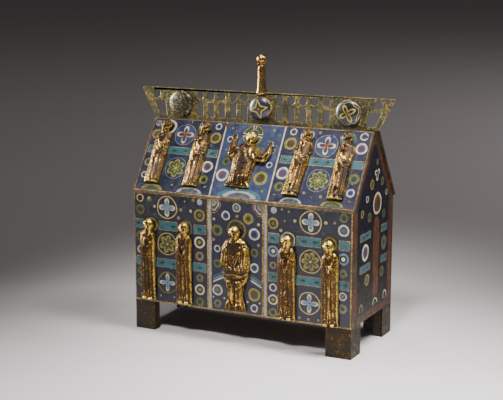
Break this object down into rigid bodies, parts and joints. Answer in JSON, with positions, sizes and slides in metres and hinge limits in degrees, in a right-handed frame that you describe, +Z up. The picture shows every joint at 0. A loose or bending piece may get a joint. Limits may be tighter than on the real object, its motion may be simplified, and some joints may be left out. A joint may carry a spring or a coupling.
{
  "type": "reliquary casket",
  "caption": "House-shaped reliquary casket with enamelled plaques over boards, gilt relief figures, a pierced ridge crest and a finial.",
  "frame": {"origin": "under the middle of the whole object, on the surface that its feet stand on", "axes": "+Z up, front with the figures towards -Y, +X to the right along the front"},
  "size_m": [0.28, 0.1172, 0.283],
  "materials": {
    "wood": "old dark oak, matt",
    "enamel_plaque": "copper with flush blue enamel and gilt lines",
    "foot_metal": "worn, darkened brass",
    "crest_metal": "gilding mostly worn to olive bronze",
    "crest_disc": "domed, worn gilt or enamelled",
    "gilt_copper": "burnished gilding, dark in the hollows"
  },
  "bodies": {
    "root": {"front_board": "wood", "back_board": "wood", "left_end_board": "wood", "right_end_board": "wood", "floor_board": "wood", "front_roof_board": "wood", "back_roof_board": "wood", "front_plaque": "enamel_plaque", "back_plaque": "enamel_plaque", "left_gable_plaque": "enamel_plaque", "right_gable_plaque": "enamel_plaque", "front_roof_plaque": "enamel_plaque", "back_roof_plaque": "enamel_plaque", "front_left_foot_plate": "foot_metal", "front_right_foot_plate": "foot_metal", "back_left_foot_plate": "foot_metal", "back_right_foot_plate": "foot_metal", "roof_crest": "crest_metal", "left_crest_disc": "crest_disc", "centre_crest_disc": "crest_disc", "right_crest_disc": "crest_disc", "finial": "gilt_copper", "lower_left_outer_figure": "gilt_copper", "lower_left_inner_figure": "gilt_copper", "lower_centre_figure": "gilt_copper", "lower_right_inner_figure": "gilt_copper", "lower_right_outer_figure": "gilt_copper", "upper_left_outer_figure": "gilt_copper", "upper_left_inner_figure": "gilt_copper", "upper_centre_figure": "gilt_copper", "upper_right_inner_figure": "gilt_copper", "upper_right_outer_figure": "gilt_copper"}
  },
  "joints": []
}
